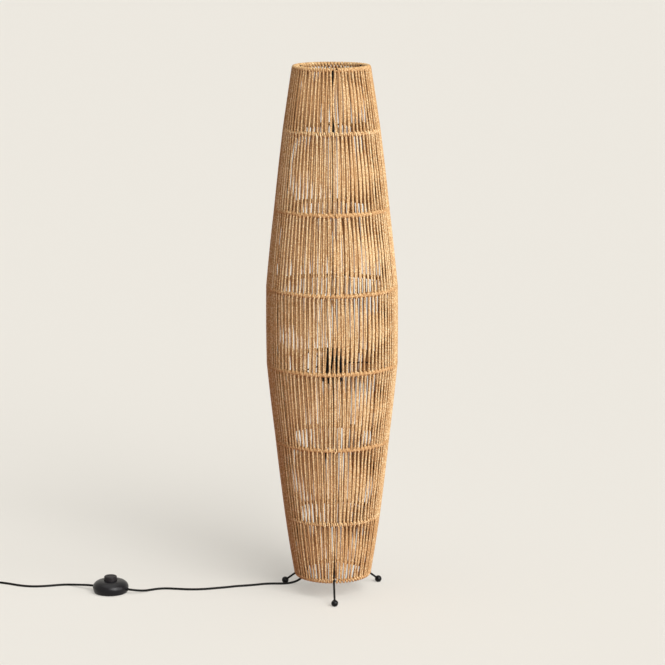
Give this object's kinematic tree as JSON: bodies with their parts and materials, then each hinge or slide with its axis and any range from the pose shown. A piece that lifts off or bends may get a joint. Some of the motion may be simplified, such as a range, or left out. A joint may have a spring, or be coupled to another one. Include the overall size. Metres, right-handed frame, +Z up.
{
  "type": "floor lamp",
  "caption": "Tall barrel-shaped floor lamp wound in natural cord on a black wire frame with ball feet, a cord, a foot switch and a plug.",
  "frame": {"origin": "on the floor, under the axis of the shade", "axes": "+Z up along the shade's axis, -Y towards the front leg, +X to the right seen from the front; the cord leaves towards -X"},
  "size_m": [1.0465, 0.2812, 1.1491],
  "materials": {
    "frame": "satin black powder coat on steel wire",
    "feet": "satin black powder coat on steel balls",
    "spider": "satin black powder coat",
    "winding": "twisted natural paper cord, matt, light tan with darker lays",
    "holder": "satin black thermoplastic",
    "ceramic": "off-white ceramic insulator",
    "brass": "bare brass",
    "cable": "matt black round PVC cable",
    "pad": "matt black rubber",
    "switch": "satin black moulded plastic",
    "button": "satin black moulded plastic, slightly worn on top",
    "plated": "bright nickel plate",
    "plug": "satin black moulded plastic"
  },
  "bodies": {
    "lamp": {"ring_1": "frame", "ring_2": "frame", "ring_3": "frame", "ring_4": "frame", "ring_5": "frame", "ring_6": "frame", "ring_7": "frame", "ring_8": "frame", "upright_front": "frame", "upright_right": "frame", "upright_left": "frame", "ball_foot_front": "feet", "ball_foot_right": "feet", "ball_foot_left": "feet", "spider_hub": "spider", "spider_arm_1": "spider", "spider_arm_2": "spider", "spider_arm_3": "spider", "winding_bay_1": "winding", "winding_bay_2": "winding", "winding_bay_3": "winding", "winding_bay_4": "winding", "winding_bay_5": "winding", "winding_bay_6": "winding", "winding_bay_7": "winding", "winding_bottom_hem": "winding", "lampholder_cap": "holder", "lampholder_sleeve": "holder", "shade_ring_lower": "holder", "shade_ring_upper": "holder", "cord_grip": "holder", "lampholder_insulator": "ceramic", "switch_block": "ceramic", "screw_shell": "brass", "centre_contact": "brass", "cord_lamp_run": "cable", "cord_plug_run": "cable", "cord_coil": "cable", "switch_pad": "pad", "switch_base": "switch", "switch_cover": "switch", "cord_clamp_right": "switch", "cord_clamp_left": "switch", "switch_spring": "plated", "switch_screw_1": "plated", "switch_screw_2": "plated", "switch_screw_3": "plated", "plug_pin_left": "plated", "plug_pin_right": "plated", "plug_relief": "plug", "plug_body": "plug"},
    "button": {"switch_button": "button"}
  },
  "joints": [
    {"name": "button_press", "type": "slide", "parent": "lamp", "child": "button", "axis": [0, 0, -1], "range_m": [0, 0.0045], "stiffness_N_per_m": 800, "springref_m": -0.004, "deforming": ["switch_spring"]}
  ]
}
